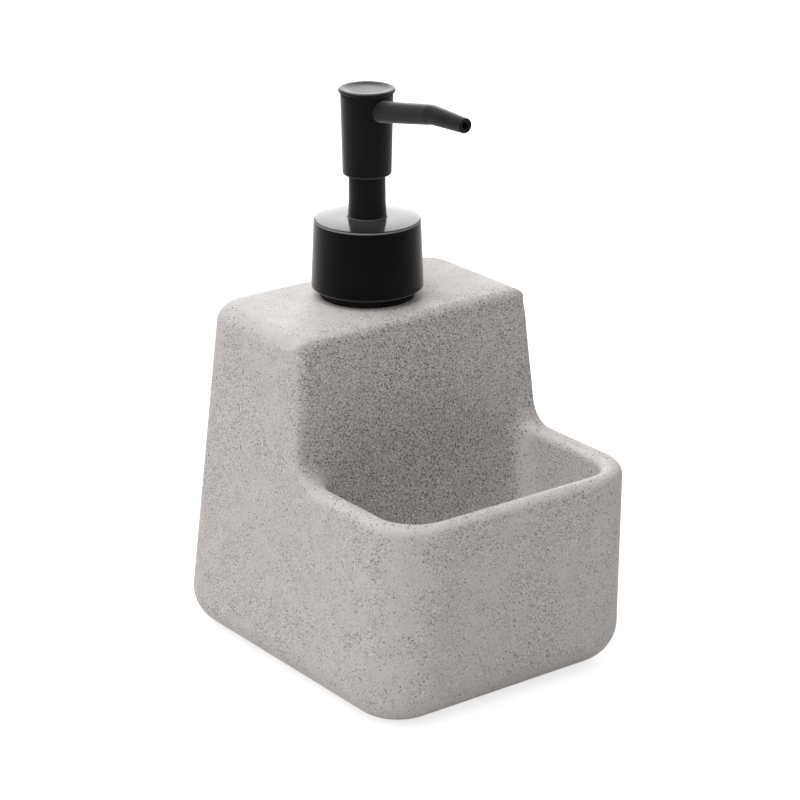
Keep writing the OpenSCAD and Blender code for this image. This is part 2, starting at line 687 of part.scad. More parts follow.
// The core carries the stem's socket and the passage that turns into the spout
thumb_plug_t = thumb_t / 2;
core_top = head_top - thumb_plug_t;
module nozzle_core() {
    r = head_d / 2 - head_wall + head_wall / 4 - fit_gap;
    color(black) difference() {
        translate([0, pump_y, core_bottom]) cylinder(r = r, h = core_top - core_bottom);
        translate([0, pump_y, core_bottom - overrun])
            cylinder(d = stem_d + 2 * fit_gap, h = stem_top - core_bottom + overrun);
        translate([0, pump_y, core_bottom]) cylinder(d = stem_bore_d, h = spout_z - core_bottom);
        spout_cut(spout_d + 2 * fit_gap, head_top_d);
        translate([0, pump_y, spout_z - spout_bore_d / 8]) rotate([90, 0, 0])
            cylinder(d = spout_bore_d, h = root_reach + fit_gap);
    }
}

module thumb_pad() {
    r = thumb_d / 2;
    edge = thumb_t / 4;
    plug_r = head_d / 2 - head_wall;
    groove_r = head_top_d / 2 - head_wall / 2;
    groove_h = thumb_t / 2;
    rim = r - thumb_t;
    top = head_top + groove_h + thumb_t;
    color(black) turned([[0, core_top], [plug_r, core_top], [plug_r, head_top],
        [groove_r, head_top], [groove_r, head_top + groove_h], [r - edge, head_top + groove_h],
        [r, head_top + groove_h + edge], [r, top - edge], [r - edge, top], [rim, top],
        [rim * 2 / 3, top - thumb_dish * 3 / 5], [rim / 3, top - thumb_dish * 9 / 10],
        [0, top - thumb_dish]]);
}

caddy_body();
base_pad();
mouth_insert();
sealing_gasket();
closure_cap();
collar_shroud();
pump_housing();
guide_neck();
inlet_ball();
ball_cage();
return_spring();
piston();
piston_rod();
stem();
dip_tube();
head_barrel();
nozzle_core();
thumb_pad();
spout();
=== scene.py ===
"""Soap pump caddy: a speckled cast stone body with an open sponge well and a black lotion pump.

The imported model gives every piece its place. This script finishes it: the casting is smoothed on to
its rounded skin, the pump's outer pieces and its return spring are made again with round edges, and
every piece gets its material. Lengths are in millimetres, and MM makes metres of them. The floor, the
lamps and the camera's clipping are given in metres.
"""

import json
from math import atan2, cos, pi, radians, sin, tan

import bmesh
import bpy
import numpy as np
from mathutils import Matrix, Vector


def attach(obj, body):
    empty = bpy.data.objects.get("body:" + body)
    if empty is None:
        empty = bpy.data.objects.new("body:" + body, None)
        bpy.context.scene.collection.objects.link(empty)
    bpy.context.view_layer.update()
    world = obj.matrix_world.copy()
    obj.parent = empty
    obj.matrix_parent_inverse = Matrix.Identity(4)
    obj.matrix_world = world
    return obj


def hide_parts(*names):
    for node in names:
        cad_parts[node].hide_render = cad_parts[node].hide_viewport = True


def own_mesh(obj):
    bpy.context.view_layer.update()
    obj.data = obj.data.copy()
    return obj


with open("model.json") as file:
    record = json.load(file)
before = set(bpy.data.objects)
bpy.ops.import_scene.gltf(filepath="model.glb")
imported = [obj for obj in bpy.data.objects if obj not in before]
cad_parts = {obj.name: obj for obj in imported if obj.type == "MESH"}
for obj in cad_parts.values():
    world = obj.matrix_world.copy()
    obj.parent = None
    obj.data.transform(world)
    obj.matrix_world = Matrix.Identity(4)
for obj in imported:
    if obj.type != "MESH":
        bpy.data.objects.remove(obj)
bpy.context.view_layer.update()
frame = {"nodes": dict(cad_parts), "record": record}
nodes = frame["nodes"]

MM = 0.001

# Sizes, as in the part's source
base_w, base_d, body_h, rim_h = 104.5, 127.5, 116.5, 70.5
wall, tower_d = 7, 53.5
side_lean, front_flare, back_lean, tower_lean = 5.4, 4.8, 21, 5.6
front_corner_r, back_corner_r, back_top_corner_r = 19, 24, 13
tower_foot_r, tower_edge_r, top_edge_r, top_front_r = 2, 5, 6, 3
base_edge_r, blend_r = 13, 8.5
lip_r = wall / 2
tower_front = base_d / 2 - back_lean - tower_d
well_floor_h, well_floor_r = 20, 9
pad_proud = 0.6
pump_y = 16

fit_gap, run_gap, stroke = 0.05, 0.3, 12.5
cap_top, cap_r, cap_wall = 135.3, 15.4, 1.6
collar_bottom, collar_top, collar_d, collar_top_d, collar_top_t = 119.4, 142.9, 37, 35, 1.6
housing_top, cylinder_bore_d = 133.4, 13
guide_bottom, guide_flange_r = 129.4, 9.5
guide_d, guide_top_d, guide_top, stem_d = 12.7, 11.9, 160.2, 7.2
head_bottom, head_top, head_d, head_top_d, head_wall = 157.5, 184.2, 15.9, 17.2, 1.35
core_bottom = guide_top + stroke + 2 * run_gap
thumb_d, thumb_t, thumb_dish = 18.6, 1.2, 0.8
groove_h = thumb_t / 2
spout_d, spout_tip_d, spout_bore_d = 7.1, 4.9, 2.8
spout_reach, spout_tip_len, spout_bend_r, spout_drop, spout_rise = 33.5, 15.5, 14, 5.1, radians(10)
spring_d, spring_wire_d, spring_turns = 9.2, 0.9, 7
cage_top, piston_bottom = 96.2, 118.45

# Sizes of this script's own, with a closer hole in the collar than the source has
crown_r, crown_drop, crown_round = 12.5, 0.5, 3.5
collar_hole_r = guide_d / 2 + run_gap / 2
flare_h = 4.5
window_below, window_above, window_half = 1.5, 2.4, radians(15)
tip_round = 0.35


# Camera
def make_camera():
    """The photograph's view: a long lens, 19 degrees above the table, from the front left."""
    azimuth, elevation, distance = radians(-36.797), radians(19), 939.6
    aim_side, aim_height = 1.058, 110.326
    image_px, focal_px, axis_px = 800, 2896.15, 324
    sensor_mm = 36
    right = Vector((cos(azimuth), sin(azimuth), 0))
    back = Vector((sin(azimuth) * cos(elevation), -cos(azimuth) * cos(elevation), sin(elevation)))
    data = bpy.data.cameras.new("camera")
    data.sensor_width = sensor_mm
    data.lens = focal_px / image_px * sensor_mm
    data.shift_y = (axis_px - image_px / 2) / image_px
    data.clip_start, data.clip_end = 0.05, 20
    camera = bpy.data.objects.new("camera", data)
    camera.location = (right * aim_side + Vector((0, 0, aim_height)) + back * distance) * MM
    camera.rotation_euler = (-back).to_track_quat("-Z", "Y").to_euler()
    bpy.context.scene.collection.objects.link(camera)
    bpy.context.scene.camera = camera


# Node helpers
def give(tree, sockets, inputs):
    """Sets inputs to values, or wires them where the value is an output socket."""
    for name, value in inputs.items():
        if isinstance(value, bpy.types.NodeSocket):
            tree.links.new(value, sockets[name])
        else:
            sockets[name].default_value = value


def add_node(tree, kind, inputs=None, **settings):
    """Adds a shader node with its settings and inputs."""
    made = tree.nodes.new("ShaderNode" + kind)
    for name, value in settings.items():
        setattr(made, name, value)
    give(tree, made.inputs, inputs or {})
    return made


def calc(tree, operation, a, b=0.0, c=0.0):
    return add_node(tree, "Math", {0: a, 1: b, 2: c}, operation=operation).outputs[0]


def times(tree, *factors):
    """The product of its factors, taken in order."""
    product = factors[0]
    for factor in factors[1:]:
        product = calc(tree, "MULTIPLY", product, factor)
    return product


def vector_calc(tree, operation, a, b):
    return add_node(tree, "VectorMath", {0: a, 1: b}, operation=operation).outputs


def ramp(tree, value, low, high, to_low=0.0, to_high=1.0):
    """A smooth step of a value from low to high."""
    inputs = {"Value": value, "From Min": low, "From Max": high, "To Min": to_low, "To Max": to_high}
    return add_node(tree, "MapRange", inputs, interpolation_type="SMOOTHSTEP").outputs["Result"]


def spread(tree, noise, lowest, highest):
    """Takes a noise, which mostly lies from 0.3 to 0.7, to a range of its own."""
    return ramp(tree, noise, 0.3, 0.7, lowest, highest)


def blend_colour(tree, factor, a, b):
    """Goes from colour a to colour b. The numbers are those of a Mix node's sockets for colours."""
    return add_node(tree, "Mix", {0: factor, 6: a, 7: b}, data_type="RGBA").outputs[2]


def new_group(name, inputs, outputs):
    """An empty node group with float inputs {name: value} and named outputs."""
    tree = bpy.data.node_groups.new(name, "ShaderNodeTree")
    for label, value in inputs.items():
        socket = tree.interface.new_socket(label, in_out="INPUT", socket_type="NodeSocketFloat")
        socket.default_value = value
    for label in outputs:
        tree.interface.new_socket(label, in_out="OUTPUT", socket_type="NodeSocketFloat")
    return tree, tree.nodes.new("NodeGroupInput").outputs, tree.nodes.new("NodeGroupOutput").inputs


def use_group(tree, group, **inputs):
    """The outputs of a group. Names of inputs have _ for a space."""
    made = add_node(tree, "Group", node_tree=group)
    give(tree, made.inputs, {name.replace("_", " "): value for name, value in inputs.items()})
    return made.outputs


def separate(tree, vector):
    return add_node(tree, "SeparateXYZ", {0: vector}).outputs


def millimetres(tree):
    """Object coordinates in millimetres."""
    place = add_node(tree, "TexCoord").outputs["Object"]
    return vector_calc(tree, "MULTIPLY", place, (1 / MM,) * 3)[0]


def place_mm(tree):
    """A point's X, Y and Z in millimetres."""
    return separate(tree, millimetres(tree))


def facing(tree):
    """The X, Y and Z of the direction that the surface faces."""
    return separate(tree, add_node(tree, "TexCoord").outputs["Normal"])


# Effects shared by the finishes
def speck_group():
    """Small round specks, each in its own cell. Density is the share of cells that hold one.

    The cells are turned askew, because flat faces would cut straight cells in rows.
    """
    inputs = {"Cell mm": 1.0, "Radius mm": 0.2, "Density": 0.5, "Seed": 0.0}
    tree, given, result = new_group("specks", inputs, ["Mask"])
    smallest, outside, inside = 0.5, 1.15, 0.75
    askew = {"Vector": millimetres(tree), "Axis": (0.6, 0.35, 0.72), "Angle": radians(38)}
    place = add_node(tree, "VectorRotate", askew).outputs[0]
    shift = vector_calc(tree, "ADD", place, given["Seed"])[0]
    scale = calc(tree, "DIVIDE", 1.0, given["Cell mm"])
    cells = add_node(tree, "TexVoronoi", {"Vector": shift, "Scale": scale}).outputs
    chance = add_node(tree, "SeparateColor", {0: cells["Color"]}).outputs
    from_centre = times(tree, cells["Distance"], given["Cell mm"])
    radius = times(tree, given["Radius mm"], calc(tree, "ADD", chance["Green"], smallest))
    speck = ramp(tree, calc(tree, "DIVIDE", from_centre, radius), outside, inside)
    held = calc(tree, "LESS_THAN", chance["Red"], given["Density"])
    tree.links.new(times(tree, speck, held), result["Mask"])
    return tree


def cloud_group():
    """Soft clouds from 0 to 1."""
    inputs = {"Size mm": 20.0, "Offset": 0.0, "Low": 0.35, "High": 0.65}
    tree, given, result = new_group("clouds", inputs, ["Cloud"])
    shift = vector_calc(tree, "ADD", millimetres(tree), given["Offset"])[0]
    scale = calc(tree, "DIVIDE", 1.0, given["Size mm"])
    noise = add_node(tree, "TexNoise", {"Vector": shift, "Scale": scale, "Detail": 3.0}).outputs["Fac"]
    tree.links.new(ramp(tree, noise, given["Low"], given["High"]), result["Cloud"])
    return tree


def grain_group():
    """Moulded grain: a fine height for the bump and a broad unevenness of the gloss."""
    inputs = {"Grain mm": 0.4, "Patch mm": 9.0}
    tree, given, result = new_group("moulded_grain", inputs, ["Height", "Patch"])
    place = millimetres(tree)
    for label, source, detail in (("Height", "Grain mm", 2.0), ("Patch", "Patch mm", 4.0)):
        scale = calc(tree, "DIVIDE", 1.0, given[source])
        noise = add_node(tree, "TexNoise", {"Vector": place, "Scale": scale, "Detail": detail})
        tree.links.new(noise.outputs["Fac"], result[label])
    return tree


def painted_highlight_line_group():
    """A thin line round the pump's axis: a painted highlight along a moulded edge."""
    inputs = {"Radius mm": 10.0, "Height mm": 100.0, "Width mm": 0.5}
    tree, given, result = new_group("painted_highlight_line", inputs, ["Mask"])

    def length(a, b):
        return calc(tree, "SQRT", calc(tree, "MULTIPLY_ADD", a, a, times(tree, b, b)))

    place = place_mm(tree)
    radius = length(calc(tree, "SUBTRACT", place["Y"], pump_y), place["X"])
    out = calc(tree, "SUBTRACT", radius, given["Radius mm"])
    up = calc(tree, "SUBTRACT", place["Z"], given["Height mm"])
    width = given["Width mm"]
    tree.links.new(ramp(tree, length(out, up), width, times(tree, width, 0.5)), result["Mask"])
    return tree


SPECKS, CLOUDS, GRAIN, PAINTED_HIGHLIGHT_LINE = speck_group(), cloud_group(), grain_group(), painted_highlight_line_group()


# Materials
def new_material(name, **inputs):
    """A material with one Principled BSDF. Names of inputs have _ for a space."""
    material = bpy.data.materials.new(name)
    material.use_nodes = True
    tree = material.node_tree
    shader = tree.nodes["Principled BSDF"].inputs
    give(tree, shader, {label.replace("_", " "): value for label, value in inputs.items()})
    return material, tree, shader


def add_bump(tree, shader, height, depth_mm, strength):
    inputs = {"Height": height, "Distance": depth_mm * MM, "Strength": strength}
    tree.links.new(add_node(tree, "Bump", inputs).outputs["Normal"], shader["Normal"])


def tower_front_mask(tree):
    """1 in the middle of the tower's front face, where the ground is darker and the specks crowd most.
    """
    middle, middle_r, outer_r, outer_share = (-6, tower_front, rim_h), base_w / 8, base_w / 2, 0.45
    off_face, on_face = 9.0, 5.0
    sideways, forwards = -0.5, -0.85
    depth = calc(tree, "ABSOLUTE", calc(tree, "SUBTRACT", place_mm(tree)["Y"], tower_front))
    near = ramp(tree, depth, off_face, on_face)
    front = ramp(tree, facing(tree)["Y"], sideways, forwards)
    away = vector_calc(tree, "DISTANCE", millimetres(tree), middle)["Value"]
    crowded = ramp(tree, away, outer_r, middle_r, outer_share, 1.0)
    return times(tree, near, front, crowded)


def painted_well_light_mask(tree):
    """1 on the well's inner side walls, the only ones that face the middle of the casting, which painted
    light makes paler.
    """
    slightly, fully = -8.0, -30.0
    place, normal = place_mm(tree), facing(tree)
    from_tower = calc(tree, "SUBTRACT", place["Y"], tower_front)
    across, along = times(tree, normal["X"], place["X"]), times(tree, normal["Y"], from_tower)
    return ramp(tree, calc(tree, "MINIMUM", across, along), slightly, fully)


def speckled_share(tree):
    """Share of the specks and grains that show: fewer on roundings and on the tower's top."""
    rounded, flat, rounded_share = 0.8, 0.97, 0.35
    sloping, level, top_loss = 0.6, 0.9, 0.7
    top_start, top_full = tower_front + 2, tower_front + 16
    place, normal = place_mm(tree), facing(tree)
    sizes = [calc(tree, "ABSOLUTE", normal[axis]) for axis in "XYZ"]
    largest = calc(tree, "MAXIMUM", sizes[0], calc(tree, "MAXIMUM", sizes[1], sizes[2]))
    flatness = ramp(tree, largest, rounded, flat, rounded_share, 1.0)
    up = ramp(tree, normal["Z"], sloping, level)
    behind = ramp(tree, place["Y"], top_start, top_full)
    return times(tree, flatness, calc(tree, "MULTIPLY_ADD", times(tree, up, behind), -top_loss, 1.0))


SAND, CHALK = (0.33, 0.32, 0.315, 1), (0.95, 0.94, 0.93, 1)


def stone_ground(tree, patch, front, share):
    """The stone's colour under its specks: mottled, darker on the tower's front, and paler in the well
    as painted light.
    """
    ground, ground_dark = (0.69, 0.672, 0.66, 1), (0.62, 0.602, 0.59, 1)
    mottle, tower_front_darkening, well_painted_light = 0.6, 0.28, 0.5
    colour = blend_colour(tree, times(tree, patch, mottle), ground, ground_dark)
    colour = blend_colour(tree, times(tree, front, tower_front_darkening), colour, SAND)
    # Painted light: the well's inner walls go paler, towards chalk white, in place of light in the well.
    colour = blend_colour(tree, times(tree, painted_well_light_mask(tree), well_painted_light), colour, CHALK)
    fine = use_group(tree, GRAIN, Grain_mm=0.5, Patch_mm=5.0)["Height"]
    sandy = ramp(tree, fine, 0.47, 0.3, 0.0, 0.45)
    chalky = ramp(tree, fine, 0.55, 0.72, 0.0, 0.3)
    colour = blend_colour(tree, times(tree, sandy, share), colour, SAND)
    return blend_colour(tree, times(tree, chalky, share), colour, CHALK)


def cast_stone():
    """Light grey cast stone: mottled ground, a fine sandy grain, and dark and pale specks in clouds."""
    dark, darkest = (0.09, 0.086, 0.082, 1), (0.03, 0.028, 0.027, 1)
    material, tree, shader = new_material("cast_stone", IOR=1.45)
    broad = use_group(tree, CLOUDS, Size_mm=20.0, Low=0.42, High=0.62)["Cloud"]
    patch = use_group(tree, CLOUDS, Size_mm=6.0, Offset=40.0, Low=0.35, High=0.68)["Cloud"]
    front, share = tower_front_mask(tree), speckled_share(tree)
    all_over = calc(tree, "MULTIPLY_ADD", broad, 0.3, calc(tree, "MULTIPLY_ADD", patch, 0.14, 0.12))
    on_front = calc(tree, "MULTIPLY_ADD", patch, 0.4, 0.5)
    crowd = calc(tree, "MULTIPLY_ADD", front, on_front, times(tree, all_over, share))
    coarse = calc(tree, "MULTIPLY_ADD", front, 0.25, times(tree, crowd, 0.6))
    # Cell and radius in millimetres, share of the cells with a speck, seed, colour and its strength
    layers = [
        (0.4, 0.14, times(tree, crowd, 1.2), 3.0, dark, 0.95),
        (0.5, 0.17, crowd, 23.0, CHALK, 0.9),
        (0.75, 0.2, coarse, 11.0, darkest, 1.0)]
    colour = stone_ground(tree, patch, front, share)
    for cell, radius, density, seed, tint, strength in layers:
        specks = use_group(tree, SPECKS, Cell_mm=cell, Radius_mm=radius, Density=density, Seed=seed)
        colour = blend_colour(tree, times(tree, specks["Mask"], strength), colour, tint)
    tree.links.new(colour, shader["Base Color"])
    grain = use_group(tree, GRAIN, Grain_mm=0.7, Patch_mm=12.0)
    tree.links.new(spread(tree, grain["Patch"], 0.64, 0.8), shader["Roughness"])
    add_bump(tree, shader, grain["Height"], depth_mm=0.12, strength=0.35)
    return material


def moulded(name, colour, gloss, grain_mm=0.45, bump_mm=0.02, painted_highlights=(), **inputs):
    """Moulded plastic or rubber. Gloss is its (lowest, highest) roughness.

    Each painted highlight is a grey line along an edge, given as (radius, height, width, share), with
    the share of grey that shows on it.
    """
    patch_mm, patch_from, patch_to = 8.0, 0.35, 0.7
    grey = (0.5, 0.49, 0.48, 1)
    material, tree, shader = new_material(name, **inputs)
    grain = use_group(tree, GRAIN, Grain_mm=grain_mm, Patch_mm=patch_mm)
    paler = tuple(min(1, 1.35 * c + 0.002) for c in colour)
    patches = ramp(tree, grain["Patch"], patch_from, patch_to)
    tint = blend_colour(tree, patches, (*colour, 1), (*paler, 1))
    # Painted highlights: grey lines in the colour, where the edges would catch the light.
    for radius, height, width, share in painted_highlights:
        line = use_group(tree, PAINTED_HIGHLIGHT_LINE, Radius_mm=radius, Height_mm=height, Width_mm=width)["Mask"]
        tint = blend_colour(tree, times(tree, line, share), tint, grey)
    tree.links.new(tint, shader["Base Color"])
    tree.links.new(spread(tree, grain["Patch"], *gloss), shader["Roughness"])
    add_bump(tree, shader, grain["Height"], depth_mm=bump_mm, strength=0.5)
    return material


def drawn_steel(name, gloss):
    """Steel with the fine grain that drawing leaves. Gloss is its (lowest, highest) roughness."""
    dull, bright = (0.52, 0.53, 0.55, 1), (0.68, 0.69, 0.7, 1)
    material, tree, shader = new_material(name, Metallic=1.0)
    grain = use_group(tree, GRAIN, Grain_mm=0.3, Patch_mm=2.5)
    tree.links.new(blend_colour(tree, grain["Patch"], dull, bright), shader["Base Color"])
    tree.links.new(spread(tree, grain["Height"], *gloss), shader["Roughness"])
    add_bump(tree, shader, grain["Height"], depth_mm=0.01, strength=0.3)
    return material


# Painted highlights, each (radius, height, width, share of grey): bright lines on the collar's and
# head's edges.
COLLAR_PAINTED_HIGHLIGHTS = [
    (collar_top_d / 2 - 0.15, collar_top - crown_drop - 0.3, 0.35, 0.45),
    (collar_d / 2 - 0.3, collar_bottom + 0.3, 0.6, 0.05)]
HEAD_PAINTED_HIGHLIGHTS = [
    (guide_d / 2, collar_top + 0.35, 0.4, 0.32),
    (head_d / 2 - 0.2, head_bottom + 0.2, 0.5, 0.08),
    (thumb_d / 2 - 0.5, head_top + groove_h + thumb_t, 0.7, 0.12)]
FINISH = {
    "stoneware": cast_stone(),
    "collar_black": moulded("collar_black", (0.001, 0.0008, 0.0008), (0.12, 0.18), bump_mm=0.003,
                            painted_highlights=COLLAR_PAINTED_HIGHLIGHTS, Specular_IOR_Level=0.075, Sheen_Weight=0.6,
                            Sheen_Roughness=0.35),
    "head_black": moulded("head_black", (0.0015, 0.0012, 0.0012), (0.4, 0.5), painted_highlights=HEAD_PAINTED_HIGHLIGHTS,
                          Specular_IOR_Level=0.12, Sheen_Weight=0.9, Sheen_Roughness=0.35),
    "insert_black": moulded("insert_black", (0.002, 0.002, 0.002), (0.4, 0.55), Specular_IOR_Level=0.1),
    "pad_rubber": moulded("pad_rubber", (0.035, 0.035, 0.036), (0.75, 0.9), grain_mm=0.3, bump_mm=0.05),
    "gasket_rubber": moulded("gasket_rubber", (0.02, 0.02, 0.02), (0.7, 0.85), grain_mm=0.3,
                             bump_mm=0.03),
    "pump_natural": moulded("pump_natural", (0.72, 0.74, 0.72), (0.3, 0.42), Transmission_Weight=0.35),
    "piston_plastic": moulded("piston_plastic", (0.74, 0.77, 0.79), (0.35, 0.5)),
    "tube_clear": moulded("tube_clear", (0.78, 0.82, 0.81), (0.2, 0.3), Transmission_Weight=0.6),
    "ball_steel": drawn_steel("ball_steel", (0.06, 0.12)),
    "spring_steel": drawn_steel("spring_steel", (0.25, 0.4)),
}


def dress(obj, slot):
    """Gives an object the finish of a material slot, in place of any it has."""
    obj.data.materials.clear()
    obj.data.materials.append(FINISH[slot])


# The casting's rounded skin
def half_w(z):
    return base_w / 2 - side_lean * z / body_h


def front_y(z):
    return -base_d / 2 - front_flare * z / rim_h


def back_y(z):
    return base_d / 2 - back_lean * z / body_h


def tower_y(z):
    return tower_front - tower_lean * (body_h - z) / body_h


def mix(a, b, s):
    return a + (b - a) * s


def ease(s):
    """A smooth step from 0 to 1."""
    t = np.clip(s, 0, 1)
    return t * t * (3 - 2 * t)


def round_edge(a, b, r):
    """Signed distance of what two surfaces both hold, with the edge between them rounded off."""
    return np.minimum(-r, np.maximum(a, b)) + np.hypot(np.maximum(r + a, 0), np.maximum(r + b, 0))


def hollow_edge(a, b, r):
    """Signed distance of what either surface holds, with the edge between them filled in."""
    return np.maximum(r, np.minimum(a, b)) - np.hypot(np.maximum(r - a, 0), np.maximum(r - b, 0))


def corner_dist(u, v, r):
    """Signed distance from a rounded corner, from the distances past its two sides."""
    outside = np.hypot(np.maximum(u + r, 0), np.maximum(v + r, 0))
    return np.minimum(np.maximum(u + r, v + r), 0) + outside - r


def edge_r(z):
    """Radius of the edge between the casting's sides and its lip, tower front and top."""
    foot = ease((z - rim_h) / blend_r)
    up = ease((z - rim_h) / (body_h - rim_h - top_edge_r))
    top = ease((z - body_h + 2 * tower_edge_r) / tower_edge_r)
    return mix(mix(mix(lip_r, tower_foot_r, foot), tower_edge_r, up), top_edge_r, top)


def skin_dist(p):
    """Signed distance of points (n, 3) from the casting's outer skin."""
    x, y, z = np.abs(p[:, 0]), p[:, 1], p[:, 2]
    middle, half = (back_y(z) + front_y(z)) / 2, (back_y(z) - front_y(z)) / 2
    corner_r = np.where(y < middle, front_corner_r, mix(back_corner_r, back_top_corner_r, z / body_h))
    plan = corner_dist(x - half_w(z), np.abs(y - middle) - half, corner_r)
    well_plan = corner_dist(x - half_w(z) + wall, front_y(z) + wall - y, front_corner_r - wall)
    well = round_edge(well_plan, well_floor_h - z, well_floor_r)
    block = round_edge(plan, pad_proud - z, base_edge_r)
    tub = round_edge(z - rim_h, -well, lip_r)
    capped = round_edge(hollow_edge(tub, tower_y(z) - y, blend_r), z - body_h, top_front_r)
    return round_edge(block, capped, edge_r(z))


def skin_slope(p):
    """Outward direction of the skin at each point."""
    probe = wall / 100
    rises = [skin_dist(p + probe * axis) - skin_dist(p - probe * axis) for axis in np.eye(3)]
    return np.stack(rises, 1) / (2 * probe)


def settle(verts):
    """Moves vertices on to the skin along the steepest way, in a few steps."""
    steps = 4
    points = np.array([vert.co for vert in verts]) / MM
    for _ in range(steps):
        slope = skin_slope(points)
        points -= slope * (skin_dist(points) / (slope * slope).sum(1))[:, None]
    for vert, place in zip(verts, points * MM):
        vert.co = place


def finished(name, bm, slot, body, *stands_for, sharp=radians(32)):
    """Makes an object of a bmesh, with smooth faces, sharp edges and its place in the frame."""
    for face in bm.faces:
        face.smooth = True
    for edge in bm.edges:
        edge.smooth = len(edge.link_faces) == 2 and edge.calc_face_angle(0) < sharp
    mesh = bpy.data.meshes.new(name)
    bm.to_mesh(mesh)
    bm.free()
    obj = bpy.data.objects.new(name, mesh)
    bpy.context.scene.collection.objects.link(obj)
    dress(obj, slot)
    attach(obj, body)
    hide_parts(*stands_for)
    return obj


OUTER, INNER = 0, 1


def casting():
    """The casting: the construction's mesh made finer, with its outer faces settled on the skin.

    Each face's material_index only says whether it is an outer one. The piece has one material.
    """
    merged, on_skin, near_skin, finer = 0.002, 0.02, 1, 2
    bm = bmesh.new()
    bm.from_mesh(nodes["caddy_body"].data)
    bmesh.ops.remove_doubles(bm, verts=bm.verts, dist=merged * MM)
    away = np.abs(skin_dist(np.array([v.co for v in bm.verts]) / MM))
    centre = np.abs(skin_dist(np.array([f.calc_center_median() for f in bm.faces]) / MM))
    bm.verts.index_update()
    for face, distance in zip(bm.faces, centre):
        outside = distance < near_skin and all(away[v.index] < on_skin for v in face.verts)
        face.material_index = OUTER if outside else INNER
    for _ in range(finer):
        edges = {e for f in bm.faces if f.material_index == OUTER for e in f.edges}
        bmesh.ops.subdivide_edges(bm, edges=list(edges), cuts=1, use_grid_fill=True)
        bmesh.ops.triangulate(bm, faces=[f for f in bm.faces if len(f.verts) > 4])
        settle(list({v for f in bm.faces if f.material_index == OUTER for v in f.verts}))
    outer_normals(finished("casting", bm, "stoneware", "casting", "caddy_body").data)


def outer_normals(mesh):
    """Exact normals of the skin on the outer faces. The others keep their own."""
    places = np.empty(len(mesh.vertices) * 3)
    mesh.vertices.foreach_get("co", places)
    slope = skin_slope(places.reshape(-1, 3) / MM)
    slope /= np.linalg.norm(slope, axis=1)[:, None]
    normals = np.zeros((len(mesh.loops), 3))
    for face in mesh.polygons:
        if face.material_index == OUTER:
            for loop in face.loop_indices:
                normals[loop] = slope[mesh.loops[loop].vertex_index]
    mesh.normals_split_custom_set(normals.tolist())


# Turned pieces of the pump
def turned(outline, closed=True, steps=96):
    """A ring or disc on the pump's axis, from (radius, height, rounding) corners in millimetres."""
    bm = bmesh.new()
    corners = [bm.verts.new((r * MM, 0, z * MM)) for r, z, _ in outline]
    pairs = list(zip(corners, corners[1:])) + ([(corners[-1], corners[0])] if closed else [])
    for pair in pairs:
        bm.edges.new(pair)
    for corner, (_, _, rounding) in zip(corners, outline):
        if rounding:
            bmesh.ops.bevel(bm, geom=[corner], offset=rounding * MM, offset_type="OFFSET", segments=4,
                            profile=0.5, affect="VERTICES", material=-1)
    bmesh.ops.spin(bm, geom=bm.verts[:] + bm.edges[:], cent=(0, 0, 0), axis=(0, 0, 1), angle=2 * pi,
                   steps=steps, use_merge=True, use_duplicate=False)
    bmesh.ops.remove_doubles(bm, verts=bm.verts, dist=0.001 * MM)
    bmesh.ops.recalc_face_normals(bm, faces=bm.faces)
    bmesh.ops.translate(bm, verts=bm.verts, vec=(0, pump_y * MM, 0))
    return bm


def pump_piece(name, bm, slot, body, stands_for):
    """A finished piece whose large faces lead the shading, so that narrow roundings stay crisp."""
    obj = finished(name, bm, slot, body, stands_for)
    obj.modifiers.new("even_shading", "WEIGHTED_NORMAL").keep_sharp = True


def collar_shell():
    """The collar over the closure, with a slightly crowned top."""
    bore_r, attic_r = cap_r + fit_gap, cap_r - cap_wall / 2
    under_top = collar_top - collar_top_t
    outline = [
        (bore_r, collar_bottom, 0), (collar_d / 2, collar_bottom, 0.9),
        (collar_top_d / 2, collar_top - crown_drop, 0.7), (crown_r, collar_top, crown_round),
        (collar_hole_r, collar_top, 0.15), (collar_hole_r, under_top, 0), (attic_r, under_top, 0),
        (attic_r, cap_top, 0), (bore_r, cap_top, 0)]
    pump_piece("collar_shell", turned(outline, steps=128), "collar_black", "closure", "collar_shroud")


def neck():
    """The fixed neck that guides the stem, with a soft flare above the collar."""
    plug_r, bore_r = cylinder_bore_d / 2 - fit_gap, stem_d / 2 + run_gap
    foot_top = housing_top + cap_wall
    flare_r = mix(guide_d, guide_top_d, 0.75) / 2
    outline = [
        (bore_r, guide_bottom, 0), (plug_r, guide_bottom, 0.2), (plug_r, housing_top, 0),
        (guide_flange_r, housing_top, 0.2), (guide_flange_r, foot_top, 0.4),
        (guide_d / 2, foot_top, 0.3), (guide_d / 2, collar_top, 1.2),
        (flare_r, collar_top + flare_h, 1.5), (guide_top_d / 2, guide_top, 0.4),
        (bore_r, guide_top, 0.2)]
    pump_piece("neck", turned(outline), "head_black", "pump_unit", "guide_neck")


